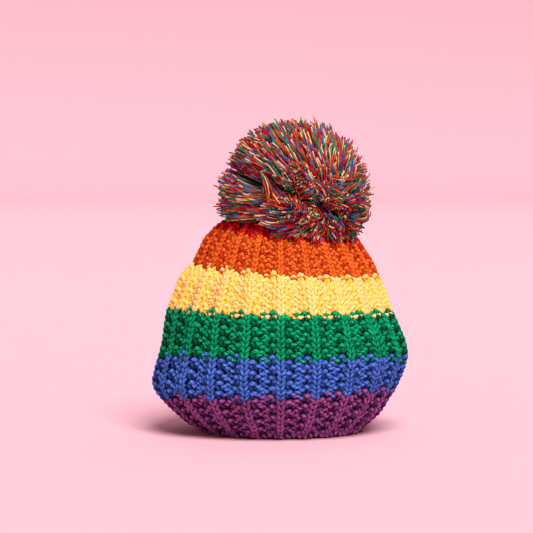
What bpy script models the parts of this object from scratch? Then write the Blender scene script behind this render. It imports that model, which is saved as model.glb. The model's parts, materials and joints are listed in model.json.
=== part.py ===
"""Knitted tea cosy with a pompom, standing on its hem, in metres with +Z up.

Two ribbed panels, front (-Y) and back (+Y), are sewn together at the sides. The side seams stay open in a
slot for the teapot's handle (-X) and in one for its spout (+X). The top is drawn together under the pompom.
The shell keeps the shape that it has over a round teapot: its hem is drawn in under the belly.
"""

import math

import bmesh
import bpy
import numpy as np
from mathutils import Euler, Matrix, Vector, noise

# The knitting. Each panel is a mistake rib over a multiple of 4 stitches plus 3, with a knit column up the
# middle of each rib and a purl column down each valley. The seams lie in purl valleys.
RIBS = 22
STITCHES_PER_RIB = 4
SEAM_COLUMN = RIBS * STITCHES_PER_RIB // 4  # counted from the middle knit column of a panel
RIB_DEPTH = 0.0026
CLOTH = 0.0050
SEAM_GAP = 0.0003
CLOSING_RADIUS = 0.0030  # what is left open where the top is drawn together
CLOSING_FADE = 0.0300  # the ribs flatten out over this much of the radius towards it
EDGE_POWER = 10  # how closely the sag of a colour change keeps to the sides
PUSH_POWER = 2.5  # how closely the columns that a slot pushes aside keep to its edge

# The stripes from the hem up: rows knitted, height of the upper edge at the middle of a panel, how much
# higher that edge is at the spout side than at the middle, and how far it sags at both sides of each panel.
STRIPES = (
    # name, rows, upper edge, tilt, sag in front, sag at the back, colour
    ("purple", 9, 0.0313, 0.0030, 0.0059, 0.0020, (0.130, 0.018, 0.080)),
    ("blue", 8, 0.0598, 0.0000, 0.0071, 0.0012, (0.035, 0.075, 0.420)),
    ("green", 8, 0.0912, 0.0007, 0.0003, 0.0003, (0.002, 0.190, 0.075)),
    ("yellow", 8, 0.1212, -0.0050, 0.0005, 0.0000, (0.950, 0.640, 0.180)),
    ("orange", 8, 0.1477, -0.0050, 0.0015, 0.0010, (0.760, 0.085, 0.012)),
    ("red", 12, 0.1672, 0.0000, 0.0000, 0.0000, (0.480, 0.004, 0.014)),
)
LOOPS_UP = (0, 2, 4.5, 7, 9, 11, 13, 15, 17, 20, 22.5, 25, 29, 33, 37, 41, 44, 47, 50, 53)

# The outline over the rib crests, as seen from the front. It starts below the floor, which cuts the hem flat.
OUTLINE = (
    # height, reach to the handle side, reach to the spout side
    (-0.0040, 0.0535, 0.0565),
    (0.0000, 0.0580, 0.0610),
    (0.0060, 0.0690, 0.0666),
    (0.0133, 0.0777, 0.0747),
    (0.0222, 0.0870, 0.0805),
    (0.0363, 0.0958, 0.0888),
    (0.0459, 0.0947, 0.0928),
    (0.0570, 0.0918, 0.0957),
    (0.0688, 0.0890, 0.0952),
    (0.0807, 0.0874, 0.0915),
    (0.0925, 0.0850, 0.0858),
    (0.1043, 0.0803, 0.0803),
    (0.1162, 0.0752, 0.0742),
    (0.1260, 0.0660, 0.0700),
    (0.1340, 0.0618, 0.0651),
    (0.1428, 0.0577, 0.0592),
    (0.1487, 0.0528, 0.0540),
    (0.1584, 0.0410, 0.0425),
    (0.1645, 0.0270, 0.0270),
    (0.1672, CLOSING_RADIUS, CLOSING_RADIUS),
)
DOME_FROM = 0.10  # height above which the outline only draws in

# The slots left open in the side seams. A high power makes a slot with blunt ends, 2 a pointed oval.
SLOTS = {
    # side: (height of its middle, half its length, half its width, power)
    "handle": (0.0800, 0.0460, 0.0055, 4),
    "spout": (0.0830, 0.0270, 0.0160, 2),
}

# The pompom sits on the top, squashed, fuller above its middle than below, and leans to the spout side and
# to the front. Its locks fan out from a smaller core nearer the front. A furrow parts them across the front,
# from high on the handle side to low on the spout side, and they stand back in a hollow on the spout side.
MIXED_YARN = (0.20, 0.05, 0.05)
POMPOM_MIDDLE = Vector((0.0100, -0.0090, 0.1765))
POMPOM_REACH = 0.0560
POMPOM_DEPTH = 0.0555
POMPOM_ABOVE = 0.0545
POMPOM_BELOW = 0.0450
POMPOM_LOWER_POWER = 3.0
LEAN = Matrix.Rotation(math.radians(4), 3, "Y") @ Matrix.Rotation(math.radians(12), 3, "X")
CORE_MIDDLE = Vector((0.0130, -0.0140, 0.1745))
CORE_SHARE = 0.62
CORE_TURN = Euler((0.45, 0.30, 0.20))  # sets the rows of facets askew
SEAT_RADIUS = 0.0200  # the core sits on the shell within this radius, and its rim lifts off further out
SEAT_CLEARANCE = 0.0006
RIM_LIFT = 0.0035
LOCK_CLEARANCE = 0.0016
LOCK_ROOT_INSET = 0.0010
LOCK_STEPS = (
    # share of the lock's length, width as a share of the width at the root
    (0.45, 1.18),
    (0.90, 1.40),
    (1.00, 0.95),
)
LOCK_UNEVEN = 0.0045
UNEVEN_SCALE = 300  # noise cells in a metre
FURROW_DEPTH = 0.15
FURROW_SLOPE = 0.38
FURROW_HALF_WIDTH = 0.0075
FURROW_FACING = Vector((-0.60, -0.80, 0.00))
HOLLOW_DEPTH = 0.16
HOLLOW_FACING = Vector((0.42, -0.85, -0.32))
HOLLOW_SPREAD = 0.28  # radians


def smooth(knots, values, at):
    """Cubic through the values at the knots, with the slope at each knot taken from its neighbours."""
    knots, values, at = (np.asarray(x, float) for x in (knots, values, at))
    slopes = np.gradient(values, knots)
    left = np.clip(np.searchsorted(knots, at) - 1, 0, len(knots) - 2)
    step = knots[left + 1] - knots[left]
    t = np.clip((at - knots[left]) / step, 0, 1)
    rise = (1 + 2 * t) * (1 - t) ** 2 * values[left] + t * t * (3 - 2 * t) * values[left + 1]
    return rise + step * (t * (1 - t) ** 2 * slopes[left] - t * t * (1 - t) * slopes[left + 1])


def outline_samples(count=400):
    """Distance along the outline from the hem, as a share of 1, with the height and both reaches there."""
    height, handle, spout = np.array(OUTLINE).T
    steps = np.hypot(np.diff(height), np.diff((handle + spout) / 2))
    knots = np.concatenate([[0], np.cumsum(steps)])
    at = np.linspace(0, knots[-1], count)
    share = at / knots[-1]
    return share, smooth(knots, height, at), smooth(knots, handle, at), smooth(knots, spout, at)


SHARE, HEIGHT, HANDLE_REACH, SPOUT_REACH = outline_samples()


def shell_point_values(row, towards_spout, front):
    """Height and crest radius of a row, where towards_spout is the sine of the turn from the panel's middle.

    Each colour change keeps its own height, tilt and sag, and the rows between two changes are evenly spaced.
    """
    last_rows = np.cumsum([0] + [stripe[1] for stripe in STRIPES])
    edges = [0.0 * towards_spout]
    for _, _, edge, tilt, sag_front, sag_back, _ in STRIPES[:-1]:
        sag = sag_front if front else sag_back
        height = edge + tilt * towards_spout - sag * np.abs(towards_spout) ** EDGE_POWER
        edges.append(np.interp(height, HEIGHT, SHARE))
    edges.append(1 + 0.0 * towards_spout)
    stripe = int(np.clip(np.searchsorted(last_rows, row) - 1, 0, len(STRIPES) - 1))
    part = (row - last_rows[stripe]) / (last_rows[stripe + 1] - last_rows[stripe])
    share = edges[stripe] * (1 - part) + edges[stripe + 1] * part
    handle = np.interp(share, SHARE, HANDLE_REACH)
    spout = np.interp(share, SHARE, SPOUT_REACH)
    reach = (handle + spout) / 2 + (spout - handle) / 2 * towards_spout
    return np.interp(share, SHARE, HEIGHT), reach


def slot_half_width(side, height):
    """Half the gap between the panels at a height, from the shape of that side's slot."""
    middle, half_length, half_width, power = SLOTS[side]
    along = min(1.0, abs(height - middle) / half_length)
    return half_width * (1 - along**power)


def panel_row(row, front):
    """The points of one row of a panel, from the handle side to the spout side, a point for each column."""
    columns = np.arange(-SEAM_COLUMN, SEAM_COLUMN + 1)
    across = columns / SEAM_COLUMN
    turn = across * math.pi / 2
    for side, sine in (("handle", -1), ("spout", 1)):
        height, reach = shell_point_values(row, np.array(float(sine)), front)
        gap = slot_half_width(side, float(height)) + SEAM_GAP / 2
        pushed = np.clip(sine * across, 0, 1) ** PUSH_POWER
        turn = turn - sine * pushed * math.asin(gap / float(reach))
    height, reach = shell_point_values(row, np.sin(turn), front)
    fade = np.clip((reach - CLOSING_RADIUS) / CLOSING_FADE, 0, 1)
    valley = (1 - np.cos(2 * math.pi * columns / STITCHES_PER_RIB)) / 2
    reach = reach - RIB_DEPTH * fade * valley
    depth = np.cos(turn) * reach
    return np.column_stack([np.sin(turn) * reach, -depth if front else depth, height])


def stripe_of(row):
    """The index of the stripe that a row between the hem and the top belongs to."""
    last_rows = np.cumsum([stripe[1] for stripe in STRIPES])
    return int(np.searchsorted(last_rows, row, side="right"))


def new_object(name, mesh, collection):
    made = bpy.data.objects.new(name, mesh)
    collection.objects.link(made)
    return made


def material(name, colour, roughness=0.9):
    made = bpy.data.materials.new(name)
    made.use_nodes = True
    shader = made.node_tree.nodes["Principled BSDF"]
    shader.inputs["Base Color"].default_value = (*colour, 1)
    shader.inputs["Roughness"].default_value = roughness
    shader.inputs["Metallic"].default_value = 0
    made.diffuse_color = (*colour, 1)
    return made


def panel(name, front, yarns, floor, collection):
    """One knitted panel: a ribbed sheet, thickened inwards and cut flat at the hem."""
    rows = [panel_row(row, front) for row in LOOPS_UP]
    across = len(rows[0])
    faces = []
    stripes = []
    for up in range(len(rows) - 1):
        for side in range(across - 1):
            corner = up * across + side
            face = (corner, corner + 1, corner + across + 1, corner + across)
            faces.append(face if front else face[::-1])
            stripes.append(stripe_of((LOOPS_UP[up] + LOOPS_UP[up + 1]) / 2))
    mesh = bpy.data.meshes.new(name)
    mesh.from_pydata(np.concatenate(rows).tolist(), [], faces)
    for yarn in yarns:
        mesh.materials.append(yarn)
    mesh.polygons.foreach_set("material_index", stripes)
    mesh.shade_smooth()
    made = new_object(name, mesh, collection)
    thick = made.modifiers.new("cloth", "SOLIDIFY")
    thick.thickness = CLOTH
    thick.offset = -1
    flat = made.modifiers.new("flat hem", "BOOLEAN")
    flat.operation = "DIFFERENCE"
    flat.object = floor
    return made


def floor_cutter(collection):
    """A block with its top at z = 0, which cuts the hem flat."""
    side, deep = 0.4, 0.05  # wider than the hem, and deeper than the outline starts
    mesh = bpy.data.meshes.new("floor")
    shape = bmesh.new()
    bmesh.ops.create_cube(shape, size=1)
    bmesh.ops.scale(shape, verts=shape.verts, vec=(side, side, deep))
    bmesh.ops.translate(shape, verts=shape.verts, vec=(0, 0, -deep / 2))
    shape.to_mesh(mesh)
    shape.free()
    made = new_object("floor", mesh, collection)
    made.hide_render = True
    made.display_type = "WIRE"
    return made


def height_over_shell(point):
    """How far a point is above the rib crests at its place in plan."""
    radius = math.hypot(point.x, point.y)
    sine = point.x / max(radius, 1e-9)
    reach = (HANDLE_REACH + SPOUT_REACH) / 2 + (SPOUT_REACH - HANDLE_REACH) / 2 * sine
    top = HEIGHT > DOME_FROM
    return point.z - float(np.interp(radius, reach[top][::-1], HEIGHT[top][::-1]))


def pompom_reach(direction):
    """Distance from the pompom's middle to its outside: round above, squarer below, less where it is parted."""
    leaning = LEAN.transposed() @ direction
    above = leaning.z > 0
    power = 2 if above else POMPOM_LOWER_POWER
    upright = abs(leaning.z) / (POMPOM_ABOVE if above else POMPOM_BELOW)
    across = math.hypot(leaning.x / POMPOM_REACH, leaning.y / POMPOM_DEPTH)
    reach = (upright**power + across**power) ** (-1 / power)
    from_furrow = reach * (direction.z + FURROW_SLOPE * direction.x) / FURROW_HALF_WIDTH
    furrow = FURROW_DEPTH * max(0.0, direction.dot(FURROW_FACING)) * math.exp(-(from_furrow**2))
    from_hollow = direction.angle(HOLLOW_FACING) / HOLLOW_SPREAD
    return reach * (1 - furrow - HOLLOW_DEPTH * math.exp(-(from_hollow**2)))


def lifted(point, clearance):
    """The point, raised where it would be nearer to the shell than the clearance."""
    short = clearance - height_over_shell(point)
    return point + Vector((0, 0, max(0.0, short)))


def core_point(direction):
    """A point of the core: on the shell where it sits, and a little off it towards its rim."""
    point = CORE_MIDDLE + direction * pompom_reach(direction) * CORE_SHARE
    past_seat = math.hypot(point.x, point.y) / SEAT_RADIUS - 1
    return lifted(point, SEAT_CLEARANCE + RIM_LIFT * min(1.0, max(0.0, past_seat)))


def lock_tip(direction):
    """The end of the lock in a direction, with uneven lengths."""
    uneven = LOCK_UNEVEN * noise.noise(direction * POMPOM_REACH * UNEVEN_SCALE)
    return POMPOM_MIDDLE + direction * (pompom_reach(direction) + uneven)


def pompom(yarn, collection):
    """A ball of yarn with a lock standing on each facet of its core, apart from those over the shell."""
    shape = bmesh.new()
    bmesh.ops.create_icosphere(shape, subdivisions=3, radius=1, matrix=CORE_TURN.to_matrix().to_4x4())
    facets = [(face, face.calc_center_median().normalized()) for face in shape.faces]
    facets = [(face, out) for face, out in facets if height_over_shell(lock_tip(out)) > LOCK_CLEARANCE]
    for vertex in shape.verts:
        vertex.co = core_point(vertex.co.normalized())
    grown = [face for face, _ in facets]
    bmesh.ops.inset_individual(shape, faces=grown, thickness=LOCK_ROOT_INSET)
    roots = [face.calc_center_median() for face in grown]
    paths = [lock_tip(out) - root for (_, out), root in zip(facets, roots)]
    share_before, width_before = 0, 1
    for share, width in LOCK_STEPS:
        grown = bmesh.ops.extrude_discrete_faces(shape, faces=grown)["faces"]
        for face, root, path in zip(grown, roots, paths):
            centre_before = root + path * share_before
            for vertex in face.verts:
                moved = root + path * share + (vertex.co - centre_before) * width / width_before
                vertex.co = lifted(moved, LOCK_CLEARANCE)
        share_before, width_before = share, width
    bmesh.ops.recalc_face_normals(shape, faces=shape.faces)
    mesh = bpy.data.meshes.new("pompom")
    shape.to_mesh(mesh)
    shape.free()
    mesh.materials.append(yarn)
    return new_object("pompom", mesh, collection)


def main():
    for old in list(bpy.data.objects):
        bpy.data.objects.remove(old, do_unlink=True)
    parts = bpy.data.collections.new("tea_cosy")
    cutters = bpy.data.collections.new("cutters")
    for collection in (parts, cutters):
        bpy.context.scene.collection.children.link(collection)
    yarns = [material(f"{stripe[0]} yarn", stripe[-1]) for stripe in STRIPES]
    floor = floor_cutter(cutters)
    panel("front_panel", True, yarns, floor, parts)
    panel("back_panel", False, yarns, floor, parts)
    pompom(material("mixed yarn", MIXED_YARN), parts)


main()
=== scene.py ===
"""A knitted tea cosy in six stripes with a pompom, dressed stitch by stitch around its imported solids.

Lengths are in metres. Each section makes one piece, or one group of like pieces, in the order in which the
cosy is put together: the cloth's body, the courses of yarn, the edges, the seams, and last the pompom.
"""

import json
import math

import bpy
import numpy as np
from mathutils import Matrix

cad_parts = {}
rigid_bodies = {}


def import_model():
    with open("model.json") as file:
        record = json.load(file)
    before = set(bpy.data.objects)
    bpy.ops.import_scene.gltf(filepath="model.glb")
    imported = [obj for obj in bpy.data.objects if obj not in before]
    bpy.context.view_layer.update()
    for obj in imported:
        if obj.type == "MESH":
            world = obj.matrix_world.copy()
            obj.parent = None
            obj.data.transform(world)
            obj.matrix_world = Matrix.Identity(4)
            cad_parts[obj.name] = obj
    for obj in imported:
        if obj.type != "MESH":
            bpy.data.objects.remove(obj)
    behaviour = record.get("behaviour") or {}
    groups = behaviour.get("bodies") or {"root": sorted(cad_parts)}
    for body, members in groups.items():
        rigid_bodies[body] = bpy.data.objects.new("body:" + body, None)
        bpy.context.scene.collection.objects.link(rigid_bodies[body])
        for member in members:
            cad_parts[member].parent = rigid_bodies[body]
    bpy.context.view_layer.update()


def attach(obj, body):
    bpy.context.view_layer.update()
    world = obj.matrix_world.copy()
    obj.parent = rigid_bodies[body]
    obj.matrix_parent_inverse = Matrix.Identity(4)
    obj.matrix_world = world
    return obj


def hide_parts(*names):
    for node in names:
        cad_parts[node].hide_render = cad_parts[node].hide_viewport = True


for startup in list(bpy.data.objects):
    bpy.data.objects.remove(startup, do_unlink=True)
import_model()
BODY = "root"

# ---------------------------------------------------------------- camera, floor and light
# The cosy stands on a pale pink sweep of paper that turns up all round it. The camera is far off and a little
# above it. A large soft light from the upper right does most of the lighting. A weak one from behind and the
# room's own light fill the rest.
VIEW_WIDTH = 0.3944  # what the picture's width spans at the cosy's middle
VIEW_CENTRE = (-0.0100, 0.0, 0.1219)
CAMERA_DISTANCE = 2.2
CAMERA_RISE = math.radians(3.3)
SENSOR = 36.0
CLIP_END = 20.0

lens = bpy.data.cameras.new("camera")
lens.sensor_width = SENSOR
lens.lens = SENSOR * CAMERA_DISTANCE / VIEW_WIDTH
lens.clip_end = CLIP_END
camera = bpy.data.objects.new("camera", lens)
camera.location = (
    VIEW_CENTRE[0],
    VIEW_CENTRE[1] - CAMERA_DISTANCE * math.cos(CAMERA_RISE),
    VIEW_CENTRE[2] + CAMERA_DISTANCE * math.sin(CAMERA_RISE),
)
camera.rotation_euler = (math.pi / 2 - CAMERA_RISE, 0, 0)
bpy.context.scene.collection.objects.link(camera)
bpy.context.scene.camera = camera
bpy.context.scene.view_settings.view_transform = "Standard"


class Socket:
    """A shader socket whose arithmetic adds Math nodes, so that a mask reads as a formula."""

    def __init__(self, nodes, link):
        self.nodes, self.link = nodes, link

    def math(self, operation, *values):
        return self.nodes.add("ShaderNodeMath", {"operation": operation}, *values)

    def __add__(self, other):
        return self.math("ADD", self, other)

    def __sub__(self, other):
        return self.math("SUBTRACT", self, other)

    def __mul__(self, other):
        return self.math("MULTIPLY", self, other)

    def __truediv__(self, other):
        return self.math("DIVIDE", self, other)

    def __pow__(self, other):
        return self.math("POWER", self, other)

    def __radd__(self, other):
        return self.math("ADD", other, self)

    def __rsub__(self, other):
        return self.math("SUBTRACT", other, self)

    def __rmul__(self, other):
        return self.math("MULTIPLY", other, self)

    def clamp(self):
        return self.nodes.add("ShaderNodeClamp", {}, self)


class Finish:
    """A material under construction, with one method that adds any node."""

    def __init__(self, name):
        self.material = bpy.data.materials.new(name)
        self.material.use_nodes = True
        self.tree = self.material.node_tree
        self.shader = self.tree.nodes["Principled BSDF"]

    def set(self, socket, value):
        if isinstance(value, Socket):
            self.tree.links.new(value.link, socket)
        else:
            socket.default_value = value

    def add(self, kind, settings, *inputs, output=0, **named):
        """Adds a node: its settings first, then the values or links of its sockets, in order or by name."""
        node = self.tree.nodes.new(kind)
        for name, value in settings.items():
            setattr(node, name, value)
        for socket, value in zip(node.inputs, inputs):
            self.set(socket, value)
        for name, value in named.items():
            self.set(node.inputs[name.replace("_", " ")], value)
        return Socket(self, node.outputs[output])

    def mix(self, factor, first, second):
        """A blend of two colours."""
        node = self.tree.nodes.new("ShaderNodeMix")
        node.data_type = "RGBA"
        for name, value in (("Factor_Float", factor), ("A_Color", first), ("B_Color", second)):
            socket = next(s for s in node.inputs if s.identifier == name)
            self.set(socket, value if isinstance(value, (Socket, float)) else (*value, 1))
        return Socket(self, next(s for s in node.outputs if s.identifier == "Result_Color"))

    def surface(self, **values):
        for name, value in values.items():
            self.set(self.shader.inputs[name.replace("_", " ")], value)
        return self.material


def new_piece(name, points, faces, material):
    """A smooth mesh object at the origin from an array of points and a list of faces."""
    mesh = bpy.data.meshes.new(name)
    mesh.from_pydata(np.asarray(points).reshape(-1, 3), [], faces)
    mesh.polygons.foreach_set("use_smooth", np.full(len(mesh.polygons), True))
    mesh.materials.append(material)
    mesh.update()
    made = bpy.data.objects.new(name, mesh)
    bpy.context.scene.collection.objects.link(made)
    return made


PAPER_FLOOR = (0.800, 0.468, 0.530)
# Painted shade: the wall's colour is a darker copy of the floor's, so the paper turns darker where it rises.
PAPER_WALL_SHADE = (0.690, 0.316, 0.364)
PAPER_REACH = 5.0
PAPER_BEND = 1.0
PAPER_SIDES = 96
PAPER_MIDDLE = 0.5  # radius of the flat face in the middle of the floor
PAPER_FADE = 4  # how late, on the way out, the wall's painted shade takes over
LIGHT_COLOUR = (1.0, 0.99, 0.98)
ROOM_COLOUR = (1.0, 0.54, 0.63, 1)
ROOM_STRENGTH = 0.36


def paper_points(count=24):
    """A round floor that turns up all round in a quarter circle of radius PAPER_BEND: a profile of reaches
    and heights carried round the Z axis."""
    bend = np.linspace(0, math.pi / 2, count)
    reach = np.concatenate([[PAPER_MIDDLE], PAPER_REACH + PAPER_BEND * np.sin(bend)])
    height = np.concatenate([[0], PAPER_BEND * (1 - np.cos(bend))])
    turn = 2 * math.pi * np.arange(PAPER_SIDES) / PAPER_SIDES
    x, y = reach[:, None] * np.cos(turn), reach[:, None] * np.sin(turn)
    return np.stack(np.broadcast_arrays(x, y, height[:, None]), axis=-1)


def round_faces(rows, sides):
    """The quads between rings of points that close round on themselves, as indices."""
    ring = np.arange(rows - 1)[:, None] * sides
    here, after = np.arange(sides), (np.arange(sides) + 1) % sides
    corners = [ring + here, ring + after, ring + sides + after, ring + sides + here]
    return np.stack(corners, axis=-1).reshape(-1, 4)


paper_finish = Finish("pale paper")
paper_place = paper_finish.add("ShaderNodeTexCoord", {}, output="Object")
paper_distance = paper_finish.add(
    "ShaderNodeVectorMath", {"operation": "LENGTH"}, paper_place, output="Value"
)
# Painted shade: the wall's darker colour takes over towards the far edge of the floor.
paper_share = (paper_distance / (PAPER_REACH + PAPER_BEND)).clamp() ** PAPER_FADE
paper_finish.surface(
    Base_Color=paper_finish.mix(paper_share, PAPER_FLOOR, PAPER_WALL_SHADE),
    Roughness=0.9,
    Specular_IOR_Level=0.1,
)
sweep = paper_points()
paper_faces = round_faces(len(sweep), PAPER_SIDES)[:, ::-1].tolist() + [list(range(PAPER_SIDES))]
paper = new_piece("paper", sweep, paper_faces, paper_finish.material)


def soft_light(name, azimuth, elevation, spread, strength):
    """A far light from an azimuth to the right of the camera and an elevation, as wide as its spread."""
    data = bpy.data.lights.new(name, "SUN")
    data.angle, data.energy, data.color = math.radians(spread), strength, LIGHT_COLOUR
    made = bpy.data.objects.new(name, data)
    made.rotation_euler = (math.pi / 2 - math.radians(elevation), 0, math.radians(azimuth))
    bpy.context.scene.collection.objects.link(made)


soft_light("key light", azimuth=17, elevation=50, spread=32, strength=4.35)
soft_light("back fill", azimuth=165, elevation=40, spread=60, strength=0.6)
room = bpy.data.worlds.new("room")
room.use_nodes = True
room.node_tree.nodes["Background"].inputs["Color"].default_value = ROOM_COLOUR
room.node_tree.nodes["Background"].inputs["Strength"].default_value = ROOM_STRENGTH
bpy.context.scene.world = room

# ---------------------------------------------------------------- the cloth's body
# Each panel is one knitted piece in mistake rib, a multiple of 4 stitches plus 3, in six stripes of thick
# plied yarn. This is the body of the cloth: a thin sheet midway between the fronts and backs of its loops.
# Its outside is painted shade, in each stripe's gap tone, so the holes between the loops read dark, and its
# inside is in the lit tone.
RIBS = 22
STITCHES_PER_RIB = 4
SEAM_COLUMN = RIBS * STITCHES_PER_RIB // 4
RIB_DEPTH = 0.0038
RIB_CREST = 1.05  # half width of a rib's crest, in columns
HEM_RIB = 0.40  # share of RIB_DEPTH left at the hem
HEM_RIB_ROWS = 3  # rows over which the ribs grow to their full depth
CLOSING_RADIUS = 0.003  # what is left open where the top is drawn together
CLOSING_FADE = 0.030  # the ribs flatten out over this much of the radius towards it
SEAM_GAP = 0.0003
EDGE_POWER = 10  # how near the side seams a colour change starts to sag
PUSH_POWER = 2.5  # how near them a slot starts to push the columns aside
STRIPES = (
    # name, rows, upper edge, tilt, sag in front, sag at the back
    ("purple", 9, 0.0313, 0.0030, 0.0059, 0.0020),
    ("blue", 8, 0.0608, -0.0012, 0.0075, 0.0012),
    ("green", 8, 0.0928, -0.0010, 0.0015, 0.0003),
    ("yellow", 8, 0.1212, -0.0050, 0.0005, 0.0000),
    ("orange", 8, 0.1470, -0.0065, 0.0010, 0.0010),
    ("red", 12, 0.1672, 0.0000, 0.0000, 0.0000),
)
ROW_ENDS = np.cumsum([0] + [stripe[1] for stripe in STRIPES])
ROWS = int(ROW_ENDS[-1])
OUTLINE = (
    # height, reach to the handle side, reach to the spout side
    (0.0000, 0.0580, 0.0610),
    (0.0060, 0.0690, 0.0666),
    (0.0133, 0.0777, 0.0747),
    (0.0222, 0.0870, 0.0805),
    (0.0363, 0.0958, 0.0888),
    (0.0459, 0.0947, 0.0928),
    (0.0570, 0.0918, 0.0957),
    (0.0688, 0.0890, 0.0952),
    (0.0807, 0.0874, 0.0915),
    (0.0925, 0.0850, 0.0858),
    (0.1043, 0.0803, 0.0803),
    (0.1162, 0.0752, 0.0742),
    (0.1260, 0.0660, 0.0700),
    (0.1340, 0.0618, 0.0651),
    (0.1428, 0.0577, 0.0592),
    (0.1487, 0.0528, 0.0540),
    (0.1584, 0.0410, 0.0425),
    (0.1645, 0.0270, 0.0270),
    (0.1672, 0.0030, 0.0030),
)
SLOTS = (
    # side, height of its middle, half its length, half its width, power
    (-1, 0.0800, 0.0460, 0.0055, 4),
    (1, 0.0830, 0.0270, 0.0160, 2),
)
YARN_RADIUS = 0.00158
LOOP_DEPTH = 0.00155  # how far a loop's legs stand before the middle of the cloth
CLOTH_MIDDLE = YARN_RADIUS + LOOP_DEPTH * 0.9  # below the outline


def smooth(knots, values, at):
    """Cubic through the values at the knots, with the slope at each knot taken from its neighbours."""
    knots, values = np.asarray(knots, float), np.asarray(values, float)
    slopes = np.gradient(values, knots)
    left = np.clip(np.searchsorted(knots, at) - 1, 0, len(knots) - 2)
    step = knots[left + 1] - knots[left]
    t = np.clip((at - knots[left]) / step, 0, 1)
    rise = (1 + 2 * t) * (1 - t) ** 2 * values[left] + t * t * (3 - 2 * t) * values[left + 1]
    return rise + step * (t * (1 - t) ** 2 * slopes[left] - t * t * (1 - t) * slopes[left + 1])


def outline_samples(count=600):
    """Shares of the distance along the outline from the hem, with the height and both reaches there."""
    height, handle, spout = np.array(OUTLINE).T
    knots = np.concatenate([[0], np.cumsum(np.hypot(np.diff(height), np.diff((handle + spout) / 2)))])
    at = np.linspace(0, knots[-1], count)
    return at / knots[-1], smooth(knots, height, at), smooth(knots, handle, at), smooth(knots, spout, at)


SHARE, HEIGHT, HANDLE_REACH, SPOUT_REACH = outline_samples()


def height_and_reach(row, sine, front):
    """Height and radius of a row. Each colour change keeps its height, tilt and sag at the sides, and the
    rows between two changes are evenly spaced along the outline."""
    edges = [np.zeros_like(sine)]
    for _, _, edge, tilt, sag_front, sag_back in STRIPES[:-1]:
        height = edge + tilt * sine - (sag_front if front else sag_back) * np.abs(sine) ** EDGE_POWER
        edges.append(np.interp(height, HEIGHT, SHARE))
    edges = np.stack(edges + [np.ones_like(sine)])
    stripe = np.clip(np.searchsorted(ROW_ENDS, row) - 1, 0, len(STRIPES) - 1)
    part = (row - ROW_ENDS[stripe]) / (ROW_ENDS[stripe + 1] - ROW_ENDS[stripe])
    low = np.take_along_axis(edges, stripe[None], 0)[0]
    high = np.take_along_axis(edges, stripe[None] + 1, 0)[0]
    share = low * (1 - part) + high * part
    handle, spout = np.interp(share, SHARE, HANDLE_REACH), np.interp(share, SHARE, SPOUT_REACH)
    return np.interp(share, SHARE, HEIGHT), (handle + spout) / 2 + (spout - handle) / 2 * sine


def outside(column, row, front):
    """Point of the outline surface at a column and a row of a panel. The column gives the turn about Z,
    less what a slot pushes aside, and the row gives height and radius."""
    column, row = np.broadcast_arrays(np.asarray(column, float), np.asarray(row, float))
    across = column / SEAM_COLUMN
    turn = across * math.pi / 2
    for side, middle, half_length, half_width, power in SLOTS:
        height, reach = height_and_reach(row, np.full_like(row, side), front)
        along = np.minimum(1, np.abs(height - middle) / half_length)
        gap = half_width * (1 - along**power) + SEAM_GAP / 2
        turn = turn - side * np.clip(side * across, 0, 1) ** PUSH_POWER * np.arcsin(gap / reach)
    height, reach = height_and_reach(row, np.sin(turn), front)
    depth = np.cos(turn) * reach
    return np.stack([np.sin(turn) * reach, -depth if front else depth, height], axis=-1)


def unit(vectors):
    return vectors / np.linalg.norm(vectors, axis=-1, keepdims=True)


def outwards(column, row, front, step=0.05):
    """Unit normal of the outline surface, from the cross product of its steps along a column and a row.
    Beyond the first and the last row, where the surface ends, it is that of its edge."""
    row = np.clip(row, step, ROWS - step)
    across = outside(column + step, row, front) - outside(column - step, row, front)
    up = outside(column, row + step, front) - outside(column, row - step, front)
    normal = unit(np.cross(across, up))
    return normal if front else -normal


def valley(column):
    """How deep the cloth lies beside a knit column, from 0 on it towards 1 on a purl column, as a bell
    curve of the distance to the nearest knit column."""
    beside = np.abs((column + STITCHES_PER_RIB / 2) % STITCHES_PER_RIB - STITCHES_PER_RIB / 2)
    return 1 - np.exp(-((beside / RIB_CREST) ** 2))


def rib_fade(row, front, column):
    """The ribs close up towards the top, where the cloth is drawn together, and flatten towards the hem."""
    point = outside(column, row, front)
    top = np.clip((np.hypot(point[..., 0], point[..., 1]) - CLOSING_RADIUS) / CLOSING_FADE, 0, 1)
    return top * (HEM_RIB + (1 - HEM_RIB) * np.clip(row / HEM_RIB_ROWS, 0, 1))


YARN_COLOURS = {
    # name: (lit side, groove between plies, gap between stitches); the gap tone is painted shade, and the
    # groove tone is painted shade in the ply grooves as well as random mottling
    "purple": ((0.500, 0.146, 0.500), (0.188, 0.034, 0.170), (0.014, 0.001, 0.010)),
    "blue": ((0.100, 0.260, 0.900), (0.025, 0.055, 0.320), (0.001, 0.003, 0.036)),
    "green": ((0.000, 0.500, 0.200), (0.000, 0.130, 0.044), (0.000, 0.010, 0.004)),
    "yellow": ((0.930, 0.640, 0.320), (0.930, 0.595, 0.160), (0.930, 0.560, 0.050)),
    "orange": ((0.930, 0.200, 0.026), (0.640, 0.052, 0.001), (0.300, 0.009, 0.000)),
    "red": ((0.970, 0.020, 0.036), (0.860, 0.006, 0.018), (0.420, 0.000, 0.006)),
}
LIT, GAP = 0, 2  # where two of the tones stand in a row of these
BODY_THICKNESS = 0.0012
BODY_FIRST_ROW = 0.15


def grid_faces(rows, columns):
    """The quads of a grid of points, as indices."""
    corner = (np.arange(rows - 1)[:, None] * columns + np.arange(columns - 1)).ravel()
    return np.column_stack([corner, corner + 1, corner + columns + 1, corner + columns])


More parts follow.
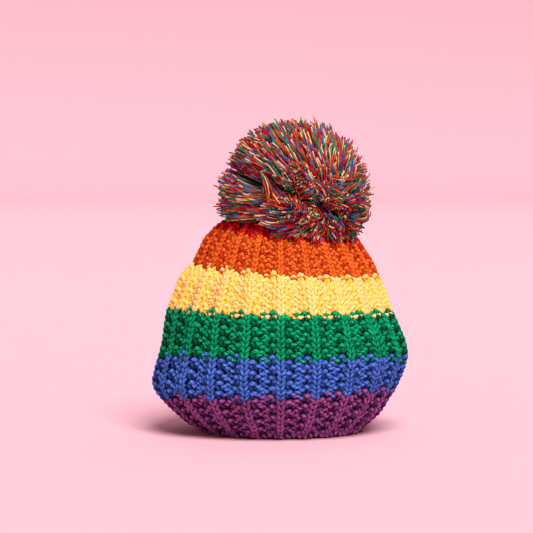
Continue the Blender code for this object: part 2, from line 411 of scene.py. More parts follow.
def body_finish(name, stripe_edges, shade):
    """Matt felted yarn in stripes by row, with a bump of noise. The map named rows holds the height of each
    row. Shade picks one of the three tones of each yarn, and the gap's tone is painted shade."""
    finish = Finish(name)
    rows = finish.add("ShaderNodeUVMap", {"uv_map": "rows"})
    row = finish.add("ShaderNodeSeparateXYZ", {}, rows, output="Y")
    position = finish.add("ShaderNodeTexCoord", {}, output="Object")
    noise = finish.add("ShaderNodeTexNoise", {}, position, Scale=900.0, Detail=3.0)
    colour = YARN_COLOURS[STRIPES[0][0]][shade]
    for stripe, edge in zip(STRIPES[1:], stripe_edges):
        above = finish.add("ShaderNodeMath", {"operation": "GREATER_THAN"}, row, edge)
        colour = finish.mix(above, colour, YARN_COLOURS[stripe[0]][shade])
    bump = finish.add("ShaderNodeBump", {}, Strength=0.6, Distance=0.0004, Height=noise)
    return finish.surface(Base_Color=colour, Roughness=0.95, Specular_IOR_Level=0.05, Normal=bump)


def cloth_body(panel, front, outer_finish, inner_finish):
    """A grid of the panel's columns and rows, set in to the middle of the cloth and thickened both ways. The
    material offset gives the inside the second finish."""
    column = np.linspace(-SEAM_COLUMN, SEAM_COLUMN, 2 * SEAM_COLUMN + 1)[None, :]
    row = np.linspace(BODY_FIRST_ROW, ROWS, ROWS + 1)[:, None]
    column, row = np.broadcast_arrays(column, row)
    inset = CLOTH_MIDDLE + RIB_DEPTH * valley(column) * rib_fade(row, front, column)
    points = outside(column, row, front) - outwards(column, row, front) * inset[..., None]
    faces = grid_faces(*column.shape)
    faces = faces if front else faces[:, ::-1]
    made = new_piece(f"{panel}_body", points, faces.tolist(), outer_finish)
    made.data.materials.append(inner_finish)
    rows = made.data.uv_layers.new(name="rows")
    corner = np.zeros(len(made.data.loops), int)
    made.data.loops.foreach_get("vertex_index", corner)
    uv = np.column_stack([(column / SEAM_COLUMN + 1).ravel() / 2, row.ravel() / ROWS])[corner]
    rows.data.foreach_set("uv", uv.ravel())
    thick = made.modifiers.new("thickness", "SOLIDIFY")
    thick.thickness = BODY_THICKNESS
    thick.offset = 0
    thick.material_offset = 1
    return made


PANELS = (("front_panel", True), ("back_panel", False))
# Painted shade: the outside of the body is in each yarn's gap tone, a dark sheet behind the loops.
shaded_body_outside = body_finish("cloth body outside painted shade", ROW_ENDS[1:-1] / ROWS, GAP)
body_inside = body_finish("cloth body inside", ROW_ENDS[1:-1] / ROWS, LIT)
bodies = {panel: cloth_body(panel, front, shaded_body_outside, body_inside) for panel, front in PANELS}

# ---------------------------------------------------------------- the courses of yarn
# Every stripe is a length of three-ply yarn that runs to and fro, each course looped through the one below,
# and the red one is two, the upper on half the stitches. In a knit stitch the legs lie in front and the head
# behind, and in a purl the other way round.
LOOP_HEIGHT = 0.80  # half the height of a loop, in rows
LOOP_SLANT = 0.27  # how far the legs spread from foot to head, in columns, in a knit stitch
PURL_SLANT = 0.18
ARCH_SLANT = (0.20, 0.10)  # the same, left and right, in a knit stitch under a purl one
ARCH_LEGS = 0.35  # depth of the legs of such a stitch, of which the head alone stands out
LOOP_ROUNDNESS = 0.65  # power of the wave from front to back, under 1 to flatten its crests
CROSSING = 0.6  # how far the yarn stays on one side of the cloth between unlike stitches
STEPS = 12  # points of a loop
SIDES = 6
LAST_COLUMN = SEAM_COLUMN - 1
TURN_STEPS = 3
SELVEDGE = 0.25  # columns, by which the yarn bulges where it turns at an edge
EDGE_STRETCH = 0.50  # columns, by which the outermost stitches reach towards the seam
EDGE_STRETCH_FROM, EDGE_STRETCH_OVER = 17, 4.5  # the column where they begin to, and over how many it grows
SLACK = 0.10  # unevenness of the knitting, as a share of a stitch
DEPTH_SLACK = 2  # how many times as uneven the depth is
KNIT_SEED = 7
FULL_STITCH = 0.0052  # width of a stitch, under which the yarn is squeezed
LEAST_SQUEEZE, SQUEEZE_POWER = 0.35, 0.6
PLIES = 3
VEE_DEPTH = 0.88  # depth of the loops of a column that is knit in every row
BUMP_DEPTH = 1.18  # the same, of the bumps of a purl stitch
PROUD = 0.22  # rows, by which a knit loop under a purl stitch stands up and out
BLOOM = 0.28  # share by which its yarn, unpressed by others, is thicker
PLY_PITCH = 0.0085  # length of yarn in which its plies turn once
PLY_SHIFT = 0.37  # turns, by which the plies of one tube are ahead of those of the one before
# Painted shade: the least openness of any point, and how much proud, outward-facing yarn adds to it.
OPENNESS = 0.11
SHELTER = 1.15
LOOP_PROUD = 0.85  # how proud the yarn counts on the outside of a loop, for the painted shade
VALLEY_SHADE = 0.15  # how much less it counts in the valleys between ribs, which paints shade there
GAP_POWER = 1.5  # how quickly the painted shade of the gaps gives way as a point lies more open
PLY_LIGHT, FIBRE_LIGHT, TONE_LIGHT = 0.80, 0.30, 0.20  # what the lit colour owes to each: the ply's share is painted shade in the grooves between plies, the fibre's and tone's are random mottling
FIBRE_HEIGHT = 0.35  # of the fibres, as a share of a ply's ridge


def tubes(name, centres, normals, radius, material, sides=SIDES, proud=0.0, openness=OPENNESS):
    """Closed tubes along paths given as (tube, point, xyz). A ring lies in the plane of the path's normal and
    the cross product of its tangent with that normal. The map named twist holds turns of ply along the tube
    and once around it. The map named light is a mask of painted shade: it holds how open each point lies,
    openness, plus SHELTER times how proud the yarn stands (-1 at the cloth's back, 1 at its front) times how
    far the point faces out."""
    tangent = unit(np.gradient(centres, axis=1))
    side = unit(np.cross(tangent, normals))
    up = np.cross(side, tangent)
    angle = 2 * math.pi * np.arange(sides) / sides
    radius = np.broadcast_to(radius, centres.shape[:2])[..., None, None]
    ring = side[:, :, None] * np.cos(angle)[:, None] + up[:, :, None] * np.sin(angle)[:, None]
    points = centres[:, :, None] + radius * ring
    count, length = centres.shape[:2]
    start = (np.arange(count)[:, None, None] * length + np.arange(length - 1)[:, None]) * sides
    a, b = np.arange(sides), (np.arange(sides) + 1) % sides
    quads = np.stack([start + a, start + sides + a, start + sides + b, start + b], axis=-1).reshape(-1, 4)
    first = np.arange(count)[:, None] * length * sides + np.arange(sides)
    last = np.arange(count)[:, None] * length * sides + (length - 1) * sides + np.arange(sides)[::-1]
    made = new_piece(name, points, quads.tolist() + first.tolist() + last.tolist(), material)
    mesh = made.data
    lengths = np.cumsum(np.linalg.norm(np.diff(centres, axis=1), axis=-1), axis=1)
    along = np.concatenate([np.zeros((count, 1)), lengths], axis=1)
    along = along / PLY_PITCH + np.arange(count)[:, None] * PLY_SHIFT
    u = np.stack([along[:, :-1], along[:, 1:], along[:, 1:], along[:, :-1]], axis=-1)[:, :, None, :]
    v = np.stack([a, a, a + 1, a + 1], axis=-1)[None, None] / sides
    uv = np.stack(np.broadcast_arrays(u, v), axis=-1).reshape(-1, 2)
    layer = mesh.uv_layers.new(name="twist")
    caps = np.zeros((2 * count * sides, 2))
    layer.data.foreach_set("uv", np.concatenate([uv, caps]).ravel())
    proud, openness = (np.broadcast_to(each, centres.shape[:2])[:, :, None] for each in (proud, openness))
    # Painted shade: yarn facing out of the cloth reads open and keeps its lit colour, yarn facing in or lying
    # deep turns to the gap tone.
    light = np.clip(openness + SHELTER * proud * np.sin(angle), 0, 1)
    corner = np.zeros(len(mesh.loops), int)
    mesh.loops.foreach_get("vertex_index", corner)
    light = np.stack(np.broadcast_arrays(light, 0), axis=-1).reshape(-1, 2)
    mesh.uv_layers.new(name="light").data.foreach_set("uv", light[corner].ravel())
    return made


def yarn_finish(name, lit, groove, gap):
    """Plied yarn: each ply is a rounded ridge on a helix, with a painted highlight on top and painted shade
    in the groove, under fine fibre noise. Painted shade turns the yarn to its gap tone where it lies between
    other loops."""
    finish = Finish(name)
    twist = finish.add("ShaderNodeUVMap", {"uv_map": "twist"})
    light = finish.add("ShaderNodeUVMap", {"uv_map": "light"})
    along = finish.add("ShaderNodeSeparateXYZ", {}, twist, output="X")
    around = finish.add("ShaderNodeSeparateXYZ", {}, twist, output="Y")
    openness = finish.add("ShaderNodeSeparateXYZ", {}, light, output="X")
    ply = finish.add("ShaderNodeMath", {"operation": "PINGPONG"}, (along + around) * PLIES, 0.5) * 2
    ply = (1 - (1 - ply) ** 2.0).clamp()
    position = finish.add("ShaderNodeTexCoord", {}, output="Object")
    tone = finish.add("ShaderNodeTexNoise", {}, position, Scale=140.0, Detail=2.0)
    fibre = finish.add("ShaderNodeTexNoise", {}, position, Scale=2600.0, Detail=3.0, Roughness=0.6)
    shade = (ply * PLY_LIGHT + fibre * FIBRE_LIGHT + tone * TONE_LIGHT).clamp()
    # Painted shade in the grooves between plies, with random mottling from the fibre and tone noise.
    colour = finish.mix(shade, groove, lit)
    # Painted shade: less open points turn to the gap tone.
    colour = finish.mix(openness**GAP_POWER, gap, colour)
    height = ply + fibre * FIBRE_HEIGHT
    bump = finish.add("ShaderNodeBump", {}, Strength=0.8, Distance=0.0005, Height=height)
    return finish.surface(
        Base_Color=colour,
        Roughness=0.85,
        Normal=bump,
        Sheen_Weight=0.08,
        Sheen_Roughness=0.4,
        Sheen_Tint=(*lit, 1),
        Specular_IOR_Level=0.06,
    )


def is_knit(column, row):
    """Mistake rib: columns 0 and 2 of four are always knit and purl, and 1 and 3 change over every row."""
    place = column % STITCHES_PER_RIB
    changing = (row - ROW_ENDS[1]) % 2 == 0
    return (place == 0) | ((place == 1) & changing) | ((place == 3) & ~changing)


def course_paths(first_row, last_row, every, rng):
    """Column, row and depth of the points of whole courses, and how free the yarn is. Across a stitch the
    angle t runs from -pi to pi: the column is t / 2 pi plus slant * sin 2t, and the height is cos t. The
    depth is that of the legs at a quarter turn, 1 in a knit stitch and -1 in a purl, its opposite at the
    sinkers, and at the head the opposite of the stitch above. Where that one is of the other kind, the legs
    dip out of the way of its feet. An arch is a knit stitch under a purl one: its legs lie at ARCH_LEGS and
    its head is free, so it stands PROUD. VEE_DEPTH scales a knit stitch under a knit one, and BUMP_DEPTH the
    bumps of a purl."""
    rows = np.arange(first_row, last_row)
    columns = np.arange(-LAST_COLUMN, LAST_COLUMN + 1, every)
    t = (np.arange(STEPS) / STEPS * 2 - 1) * math.pi
    row, column, angle = np.meshgrid(rows, columns, t, indexing="ij")
    legs = np.where(is_knit(column, row), 1.0, -1.0)
    above = np.where(is_knit(column, row + 1), 1.0, -1.0)
    meeting = np.where(is_knit(column - every, row), 1.0, -1.0)
    wave = np.cos(2 * angle)
    wave = np.sign(wave) * np.abs(wave) ** LOOP_ROUNDNESS
    arch = (legs > 0) & (above < 0)
    dip = np.where(legs == above, 0.0, legs) * (1 - wave**2)
    dip = dip + np.where(arch & (wave < 0), 1 - ARCH_LEGS, 0.0) * wave**2
    head = (legs - above) / 2 - (legs + above) / 2 * wave - dip
    between = (legs + meeting) / 2 - CROSSING * (legs - meeting) / 2
    sinker = -wave * np.where(angle == t[0], between, legs)
    sinker = sinker * np.where(arch & (wave < 0), ARCH_LEGS, 1.0)
    z = np.where(np.abs(angle) < math.pi / 2, head, sinker)
    vee, bump = (legs > 0) & (above > 0), (legs < 0) & (z > 0)
    z = z * np.where(vee, VEE_DEPTH, 1.0) * np.where(bump, BUMP_DEPTH, 1.0)
    slant = np.where(legs > 0, LOOP_SLANT, PURL_SLANT)
    near = (angle < 0) != (column % STITCHES_PER_RIB == 3)
    slant = np.where(arch, np.where(near, *ARCH_SLANT), slant)
    jitter = rng.normal(0, SLACK, (3, len(rows), len(columns), 1)) * np.ones(STEPS)
    calm = np.cos(angle / 2) ** 2  # 1 at the head and 0 where a stitch meets the next
    x = column + every * (angle / (2 * math.pi) + slant * np.sin(2 * angle) + jitter[0] * calm)
    free = np.where(arch, calm, 0.0)
    y = row + 0.5 + LOOP_HEIGHT * np.cos(angle) * (1 + jitter[1] * calm) + PROUD * free
    z = z * (1 + DEPTH_SLACK * jitter[2] * calm) + PROUD * free
    x, y, z, free = (values.reshape(len(rows), -1) for values in (x, y, z, free))
    outermost = np.clip((np.abs(x) - EDGE_STRETCH_FROM) / EDGE_STRETCH_OVER, 0, 1)
    x = x + EDGE_STRETCH * outermost * np.sign(x)
    return x, y, z, free


def turned(values, bulge):
    """One course after another, the odd ones from right to left, as one path. Where the yarn turns at an
    edge it passes through TURN_STEPS more points, between the ends of the courses and bulging by sin."""
    share = np.arange(1, TURN_STEPS + 1) / (TURN_STEPS + 1)
    path = []
    for course, row in enumerate(values):
        row = row if course % 2 == 0 else row[::-1]
        if path:
            side = 1 if course % 2 else -1
            between = path[-1][-1] * (1 - share) + row[0] * share
            path.append(between + side * bulge * np.sin(math.pi * share))
        path.append(row)
    return np.concatenate(path)[None]


def lay_on_shell(x, y, z, front):
    """Places loops on the shell, with their normals and how proud they stand, which sets the painted shade
    and is less in the valleys between ribs: the cloth's middle follows the ribs, and z counts in LOOP_DEPTH.
    No yarn reaches below the floor."""
    normal = outwards(x, y, front)
    low = valley(x) * rib_fade(y, front, x)
    inset = CLOTH_MIDDLE + RIB_DEPTH * low - LOOP_DEPTH * z
    points = outside(x, y, front) - normal * inset[..., None]
    points[..., 2] = np.maximum(points[..., 2], YARN_RADIUS)
    return points, normal, np.clip(z * LOOP_PROUD, -1, 1) - VALLEY_SHADE * low


def squeezed(x, y, front, every):
    """Yarn radius, less where the stitches are drawn narrower than FULL_STITCH."""
    width = np.linalg.norm(outside(x + 0.5, y, front) - outside(x - 0.5, y, front), axis=-1) * every
    return YARN_RADIUS * np.clip(width / FULL_STITCH, LEAST_SQUEEZE, 1) ** SQUEEZE_POWER


yarns = {name: yarn_finish(f"{name} yarn", *colours) for name, colours in YARN_COLOURS.items()}
GATHERED_ROWS = 7  # rows under the pompom that are worked on half the stitches
courses = {panel: [] for panel, _ in PANELS}
rng = np.random.default_rng(KNIT_SEED)
for panel, front in PANELS:
    for number, stripe in enumerate(STRIPES):
        first, last = int(ROW_ENDS[number]), int(ROW_ENDS[number + 1])
        spans = [(first, last, 1)]
        if last == ROWS:
            spans = [(first, last - GATHERED_ROWS, 1), (last - GATHERED_ROWS, last, 2)]
        for start, stop, every in spans:
            x, y, z, free = course_paths(start, stop, every, rng)
            x, y, z, free = turned(x, SELVEDGE), turned(y, 0), turned(z, 0), turned(free, 0)
            points, normal, proud = lay_on_shell(x, y, z, front)
            name = f"{panel}_{stripe[0]}" + ("_gather" if every == 2 else "")
            radius = squeezed(x, y, front, every) * (1 + BLOOM * free)
            made = tubes(name, points, normal, radius, yarns[stripe[0]], proud=proud)
            courses[panel].append(made)

# ---------------------------------------------------------------- the cast-on edge
# The hem is a long-tail cast-on in the first yarn: the tail winds once round the foot of every stitch, so
# the edge looks like a thin rope and is what the cosy stands on.
EDGE_ROW = 0.30
EDGE_WIND = 0.00150  # radius of the winding
EDGE_WIND_DEEP = 1.4  # how many times as deep it is
# Painted shade: the least openness of the cast-on's yarn.
EDGE_OPENNESS = 0.3
EDGE_SLOPE_STEP = 0.1  # rows, over which the way up the cloth is measured
EDGE_STEPS = 8  # points of a turn


def wound(axis, up, out, angle, high, deep):
    """A yarn wound round an axis: the axis, plus high * cos of the angle upwards, plus deep * sin
    outwards."""
    return axis + up * (high * np.cos(angle))[..., None] + out * (deep * np.sin(angle))[..., None]


def cast_on_path(front):
    """The winding yarn along a panel's first row, with its normals and how proud it stands, which sets its
    painted shade.
    """
    column = np.linspace(-SEAM_COLUMN, SEAM_COLUMN, 2 * SEAM_COLUMN * EDGE_STEPS + 1)[None]
    row = np.full_like(column, EDGE_ROW)
    out = outwards(column, row, front)
    up = outside(column, row + EDGE_SLOPE_STEP, front) - outside(column, row - EDGE_SLOPE_STEP, front)
    low = valley(column) * rib_fade(row, front, column)
    axis = outside(column, row, front) - out * (CLOTH_MIDDLE + RIB_DEPTH * low)[..., None]
    angle = 2 * math.pi * column
    path = wound(axis, unit(up), out, angle, EDGE_WIND, EDGE_WIND * EDGE_WIND_DEEP)
    path[..., 2] = np.maximum(path[..., 2], YARN_RADIUS)
    return path, out, np.sin(angle)


first_yarn = STRIPES[0][0]
for panel, front in PANELS:
    path, out, proud = cast_on_path(front)
    made = tubes(
        f"{panel}_cast_on", path, out, YARN_RADIUS, yarns[first_yarn], proud=proud, openness=EDGE_OPENNESS
    )
    courses[panel].append(made)

for panel, _ in PANELS:
    for made in [bodies[panel], *courses[panel]]:
        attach(made, BODY)
        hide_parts(panel)

# ---------------------------------------------------------------- the side seams
# The panels are oversewn together up both sides, in the yarn of each stripe, and left open for the handle
# and the spout. A few closer stitches hold each end of an opening.
SEAM_PITCH = 1.5  # rows to a stitch
TACK_PITCH = 0.40  # the same, at the ends of an opening
SEAM_SHIFT = 0.4  # rows, by which a change of yarn in the seam is above that in the panels
SEAM_YARN = 0.85  # its thickness as a share of the panels' yarn
TACKS = 4
SEAM_HALF_WIDTH = 0.0032
SEAM_HALF_DEPTH = 0.0030
SEAM_STEPS = 10  # points of a stitch


def seam_row(height, side):
    """The row whose height at a side, midway between the panels, is the one given."""
    row = np.linspace(0, ROWS, 20 * ROWS + 1)
    ends = [outside(side * SEAM_COLUMN, row, front)[:, 2] for _, front in PANELS]
    return float(np.interp(height, (ends[0] + ends[1]) / 2, row))


def seam_path(side, first, last, pitch):
    """A yarn wound round both edges at one side, from the first row to the last, with its normals and how
    proud it stands, which sets its painted shade.
    """
    row = np.linspace(first, last, max(2, round((last - first) / pitch * SEAM_STEPS)))[None]
    column = np.full_like(row, side * SEAM_COLUMN)
    edge = (outside(column, row, True) + outside(column, row, False)) / 2
    out = unit(outwards(column, row, True) * [1, 0, 1] + outwards(column, row, False) * [1, 0, 1])
    low = valley(column) * rib_fade(row, True, column)
    axis = edge - out * (CLOTH_MIDDLE + RIB_DEPTH * low)[..., None]
    angle = 2 * math.pi * (row - first) / pitch
    across = np.zeros_like(out) + [0, 1, 0]
    return wound(axis, across, out, angle, SEAM_HALF_WIDTH, SEAM_HALF_DEPTH), out, np.sin(angle)


for side, middle, half_length, _, _ in SLOTS:
    opening = seam_row(middle - half_length, side), seam_row(middle + half_length, side)
    spans = [(opening[0] - TACKS * TACK_PITCH, opening[0], TACK_PITCH, "low_tack")]
    spans += [(opening[1], opening[1] + TACKS * TACK_PITCH, TACK_PITCH, "high_tack")]
    for number, stripe in enumerate(STRIPES):
        first = ROW_ENDS[number] + SEAM_SHIFT
        last = min(ROW_ENDS[number + 1] + SEAM_SHIFT, ROWS - GATHERED_ROWS)
        if first < opening[0]:
            spans.append((first, min(last, opening[0]), SEAM_PITCH, stripe[0]))
        if last > opening[1]:
            spans.append((max(first, opening[1]), last, SEAM_PITCH, stripe[0]))
    for first, last, pitch, name in spans:
        colour = STRIPES[int(np.searchsorted(ROW_ENDS, (first + last) / 2) - 1)][0]
        path, out, proud = seam_path(side, first, last, pitch)
        where = "handle" if side < 0 else "spout"
        thick = YARN_RADIUS * SEAM_YARN
        made = tubes(f"{where}_seam_{name}", path, out, thick, yarns[colour], proud=proud)
        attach(made, BODY)

# ---------------------------------------------------------------- the pompom
# A ball of yarn ends tied near its front and sewn on the top. Each cut end has opened into its three plies.
# The ends fan out from the tie, and a furrow across the front parts them.
POMPOM_MIDDLE = np.array([0.0100, -0.0090, 0.1765])
POMPOM_REACH = 0.0560
POMPOM_DEPTH = 0.0555
POMPOM_ABOVE = 0.0545
POMPOM_BELOW = 0.0450
POMPOM_LOWER_POWER = 3.0
LEAN_TO_SPOUT = math.radians(4)
LEAN_TO_FRONT = math.radians(12)
FURROW_DEPTH = 0.15
FURROW_SLOPE = 0.38
FURROW_HALF_WIDTH = 0.0075
FURROW_FACING = np.array([-0.60, -0.80, 0.00])
HOLLOW_DEPTH = 0.10
HOLLOW_FACING = np.array([0.42, -0.85, -0.32])
HOLLOW_SPREAD = 0.28
TIE = np.array([0.0350, -0.0340, 0.1630])
TIE_RADIUS = 0.0130
YARN_ENDS = 3000
TRIM = 0.0022  # how far inside the ball's outline the ends are cut, on average
CLUMPS = 260
CLUMP_PULL = 0.24
PARTING = 0.0050  # how far the ends beside the furrow lean away from it
TUFTS = (
    # ends that stand out at the front or lie across the furrow: number, facing, spread, root
    (150, (0.04, -0.99, -0.02), 0.15, (0.0120, -0.0220, 0.1720)),
    (90, (0.40, -0.86, -0.30), 0.17, (0.0240, -0.0180, 0.1640)),
    (40, (-0.12, -0.99, 0.05), 0.11, (-0.0200, -0.0400, 0.2050)),
    (36, (0.57, -0.82, -0.06), 0.11, (0.0090, -0.0400, 0.1920)),
)
TUFT_EXTRA = 0.003  # how much longer these are
END_STRAY, CLUMP_STRAY = 0.035, 0.05  # unevenness of the ends' directions, and of the clumps'
CLUMP_CUT, END_CUT = 0.0010, 0.0009  # unevenness of their lengths
SWAY, PLY_SWAY = 0.0035, 0.0016  # how far a clump bends aside, and each ply by itself
ROOT_BEND, TIP_BEND = 0.6, 0.1  # how far a curve first follows its root's direction and its tip's
PLY_RADIUS = 0.00056
PLY_SIDES = 3
PLY_SPREAD = 0.0017
ALONG = (0.10, 0.35, 0.60, 0.82, 1.0)  # where a ply has its points, as shares of its length
# Painted shade: how open a ply's root lies, and how fast it opens along the ply.
ROOT_OPENNESS, OPENNESS_ALONG = 0.30, 1.2
SHELL_CLEARANCE = 0.0012
DRAPE = 0.0080  # how far below the shell an end may aim and still be kept, lying on it
LIFT = 0.0085  # how far the ends stay above the shell at the front left, where the red shows
LIFT_PLACE = -0.0250
LIFT_SPREAD = 0.0150
DOME_FROM = 0.10  # height above which the outline only draws in
MIX_STEPS = 1000
POMPOM_SEED = 11
RING_FACING = np.array([0.3, 0.2, 0.9])  # what the plies' rings are turned by
END_TONE, END_FIBRE = 0.9, 0.5  # what the plies' lit colour owes to broad and fine mottling


def leaning(direction):
    """A direction in the pompom's own axes, which lean to the spout side and to the front."""
    c, s = math.cos(LEAN_TO_SPOUT), math.sin(LEAN_TO_SPOUT)
    about_y = np.array([[c, 0, s], [0, 1, 0], [-s, 0, c]])
    c, s = math.cos(LEAN_TO_FRONT), math.sin(LEAN_TO_FRONT)
    about_x = np.array([[1, 0, 0], [0, c, -s], [0, s, c]])
    return direction @ (about_y @ about_x)


def pompom_reach(direction):
    """Distance from the pompom's middle to its outside: round above, squarer below, less where it is
    parted and in the hollow."""
    own = leaning(direction)
    above = own[:, 2] > 0
    power = np.where(above, 2, POMPOM_LOWER_POWER)
    upright = np.abs(own[:, 2]) / np.where(above, POMPOM_ABOVE, POMPOM_BELOW)
    across = np.hypot(own[:, 0] / POMPOM_REACH, own[:, 1] / POMPOM_DEPTH)
    reach = (upright**power + across**power) ** (-1 / power)
    from_furrow = reach * (direction[:, 2] + FURROW_SLOPE * direction[:, 0]) / FURROW_HALF_WIDTH
    furrow = FURROW_DEPTH * np.maximum(0, direction @ FURROW_FACING) * np.exp(-(from_furrow**2))
    facing = HOLLOW_FACING / np.linalg.norm(HOLLOW_FACING)
    from_hollow = np.arccos(np.clip(direction @ facing, -1, 1)) / HOLLOW_SPREAD
    return reach * (1 - furrow - HOLLOW_DEPTH * np.exp(-(from_hollow**2)))


def height_over_shell(points):
    """How far points are above the shell at their place in plan."""
    radius = np.hypot(points[..., 0], points[..., 1])
    top = HEIGHT > DOME_FROM
    reach = (HANDLE_REACH + SPOUT_REACH)[top] / 2
    return points[..., 2] - np.interp(radius, reach[::-1], HEIGHT[top][::-1])


def spread_directions(count):
    """Directions evenly spread over a sphere, on a spiral from pole to pole that turns by the golden
    angle."""
    along = (np.arange(count) + 0.5) / count
    tilt = np.arccos(1 - 2 * along)
    turn = math.pi * (1 + math.sqrt(5)) * np.arange(count)
    return np.column_stack([np.cos(turn) * np.sin(tilt), np.sin(turn) * np.sin(tilt), np.cos(tilt)])


def ply_paths(rng):
    """Curves from around the tie to the pompom's outside, one for each ply of each end, with a random
    number. Ends lean towards the middle of their clump and away from the furrow. A curve starts along its
    own direction from the tie and bends towards its tip."""
    ends = unit(spread_directions(YARN_ENDS) + rng.normal(0, END_STRAY, (YARN_ENDS, 3)))
    tie = np.zeros_like(ends) + TIE
    for number, facing, spread, root in TUFTS:
        ends = np.concatenate([ends, unit(np.array(facing) + rng.normal(0, spread, (number, 3)))])
        tie = np.concatenate([tie, np.zeros((number, 3)) + root])
    tuft = np.arange(len(ends)) >= YARN_ENDS
    clumps = unit(spread_directions(CLUMPS) + rng.normal(0, CLUMP_STRAY, (CLUMPS, 3)))
    clump = np.argmax(ends @ clumps.T, axis=1)
    ends = unit(ends + CLUMP_PULL * (clumps[clump] - ends))
    length = rng.normal(0, CLUMP_CUT, CLUMPS)[clump] + rng.normal(0, END_CUT, len(ends)) + TUFT_EXTRA * tuft
    sway = rng.normal(0, SWAY, (CLUMPS, 3))[clump]
    reach = pompom_reach(ends)
    tip = POMPOM_MIDDLE + ends * (reach - TRIM + length)[:, None]
    across = (reach * (ends[:, 2] + FURROW_SLOPE * ends[:, 0]) / FURROW_HALF_WIDTH)[:, None]
    beside = np.maximum(0, ends @ FURROW_FACING)[:, None] * np.sign(across) * np.exp(-(across**2))
    tip = tip + PARTING * beside * unit(np.array([FURROW_SLOPE, 0, 1]))
    lifted = LIFT * np.exp(-(((tip[:, 0] - LIFT_PLACE) / LIFT_SPREAD) ** 2)) * (tip[:, 1] < 0)
    draped = DRAPE * np.clip((tip[:, 0] - LIFT_PLACE) / (2 * LIFT_SPREAD), 0, 1)
    kept = height_over_shell(tip) > SHELL_CLEARANCE + lifted - draped
    ends, tip, sway, tie = (np.repeat(values[kept], PLIES, axis=0) for values in (ends, tip, sway, tie))
    number = rng.integers(0, MIX_STEPS, len(ends))
    tip = tip + rng.normal(0, PLY_SPREAD, tip.shape)
    root = tie + unit(tip - tie) * TIE_RADIUS
    span = np.linalg.norm(tip - root, axis=-1, keepdims=True)
    bend = root + (unit(root - tie) * ROOT_BEND + ends * TIP_BEND) * span + sway
    bend = bend + rng.normal(0, PLY_SWAY, tip.shape)
    share = np.array(ALONG)[None, :, None]
    root, bend, tip = root[:, None], bend[:, None], tip[:, None]
    path = root * (1 - share) ** 2 + 2 * bend * share * (1 - share) + tip * share**2
    path[..., 2] += np.maximum(0, SHELL_CLEARANCE - height_over_shell(path))
    return path, number


def cut_end_finish(name, lit, groove, gap):
    """Brushed-out plies: softly mottled from the groove's colour to the lit one, under fine fibres, with
    painted shade, the gap colour, towards the root."""
    finish = Finish(name)
    position = finish.add("ShaderNodeTexCoord", {}, output="Object")
    tone = finish.add("ShaderNodeTexNoise", {}, position, Scale=260.0, Detail=2.0)
    fibre = finish.add("ShaderNodeTexNoise", {}, position, Scale=2600.0, Detail=2.0)
    colour = finish.mix((tone * END_TONE + fibre * END_FIBRE).clamp(), groove, lit)
    light = finish.add("ShaderNodeUVMap", {"uv_map": "light"})
    openness = finish.add("ShaderNodeSeparateXYZ", {}, light, output="X")
    # Painted shade: towards the root the ply turns to the gap colour.
    colour = finish.mix(openness, gap, colour)
    bump = finish.add("ShaderNodeBump", {}, Strength=0.6, Distance=0.0002, Height=fibre)
    return finish.surface(
        Base_Color=colour,
        Roughness=0.8,
        Normal=bump,
        Sheen_Weight=0.1,
        Sheen_Roughness=0.4,
        Sheen_Tint=(*lit, 1),
        Specular_IOR_Level=0.1,
    )


POMPOM_MIX = (
    # colour, share of the plies, then its lit, groove and gap colours; the gap colour is painted shade
    # towards the roots
    ("red", 0.22, (0.560, 0.007, 0.018), (0.240, 0.001, 0.007), (0.050, 0.000, 0.002)),
    ("orange", 0.18, (0.620, 0.100, 0.012), (0.330, 0.028, 0.002), (0.080, 0.005, 0.001)),
    ("green", 0.18, (0.006, 0.270, 0.120), (0.001, 0.085, 0.034), (0.000, 0.020, 0.008)),
    ("blue", 0.12, (0.075, 0.130, 0.430), (0.020, 0.034, 0.170), (0.004, 0.007, 0.040)),
    ("purple", 0.13, (0.200, 0.052, 0.150), (0.075, 0.010, 0.050), (0.020, 0.002, 0.014)),
    ("cream", 0.17, (0.760, 0.580, 0.330), (0.480, 0.290, 0.120), (0.120, 0.060, 0.022)),
)
plies, ply_number = ply_paths(np.random.default_rng(POMPOM_SEED))
shares = np.cumsum([row[1] for row in POMPOM_MIX]) * MIX_STEPS
colour_number = np.searchsorted(shares, ply_number, side="right")
ply_reference = np.zeros_like(plies) + unit(RING_FACING)
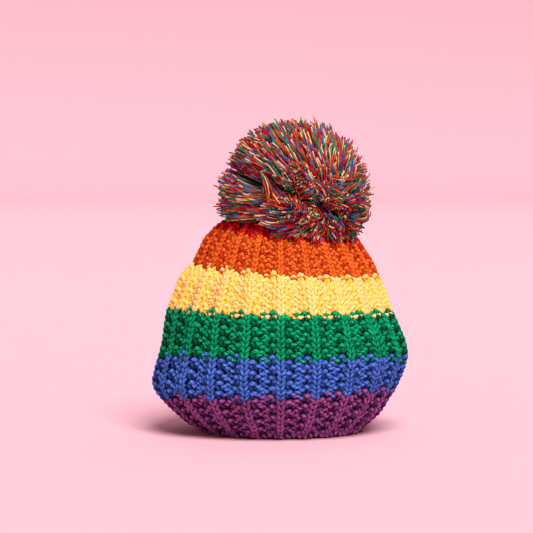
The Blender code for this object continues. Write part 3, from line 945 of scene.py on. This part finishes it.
# Painted shade: the plies are darker towards their roots.
ply_openness = np.clip(ROOT_OPENNESS + OPENNESS_ALONG * np.array(ALONG), 0, 1)
for index, (colour, _, *shades) in enumerate(POMPOM_MIX):
    chosen = colour_number == index
    finish = cut_end_finish(f"{colour} cut ends", *shades)
    centres, normals = plies[chosen], ply_reference[chosen]
    made = tubes(
        f"pompom_{colour}", centres, normals, PLY_RADIUS, finish, sides=PLY_SIDES, openness=ply_openness
    )
    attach(made, BODY)
    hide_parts("pompom")

# The ball's tightly bound middle, where no end can be told from the next. Its near-black colour is painted
# shade, deep inside the ball, mottled by noise.
CORE_SHARE = 0.62
CORE_RINGS, CORE_SIDES = 32, 64
CORE_CLEARANCE = 0.002


def core_points():
    """The ball's outside drawn in towards its middle, on rings of directions from pole to pole."""
    tilt = (np.arange(CORE_RINGS) + 0.5) / CORE_RINGS * math.pi
    turn = 2 * math.pi * np.arange(CORE_SIDES) / CORE_SIDES
    x, y = np.sin(tilt)[:, None] * np.cos(turn), np.sin(tilt)[:, None] * np.sin(turn)
    ways = np.stack(np.broadcast_arrays(x, y, np.cos(tilt)[:, None]), axis=-1).reshape(-1, 3)
    points = POMPOM_MIDDLE + ways * (pompom_reach(ways) * CORE_SHARE)[:, None]
    points[:, 2] += np.maximum(0, CORE_CLEARANCE - height_over_shell(points))
    return points


core_finish = Finish("pompom middle")
core_place = core_finish.add("ShaderNodeTexCoord", {}, output="Object")
core_tone = core_finish.add("ShaderNodeTexNoise", {}, core_place, Scale=700.0, Detail=3.0)
# Painted shade: two near-black tones mottled by noise.
core_finish.surface(
    Base_Color=core_finish.mix(core_tone, (0.060, 0.004, 0.008), (0.022, 0.006, 0.016)),
    Roughness=0.95,
    Specular_IOR_Level=0.05,
    Normal=core_finish.add("ShaderNodeBump", {}, Strength=1.0, Distance=0.0010, Height=core_tone),
)
last_ring = (CORE_RINGS - 1) * CORE_SIDES
core_faces = round_faces(CORE_RINGS, CORE_SIDES)[:, ::-1].tolist()
core_faces += [list(range(CORE_SIDES)), list(range(last_ring, last_ring + CORE_SIDES))[::-1]]
core = new_piece("pompom_middle", core_points(), core_faces, core_finish.material)
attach(core, BODY)
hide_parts("pompom")
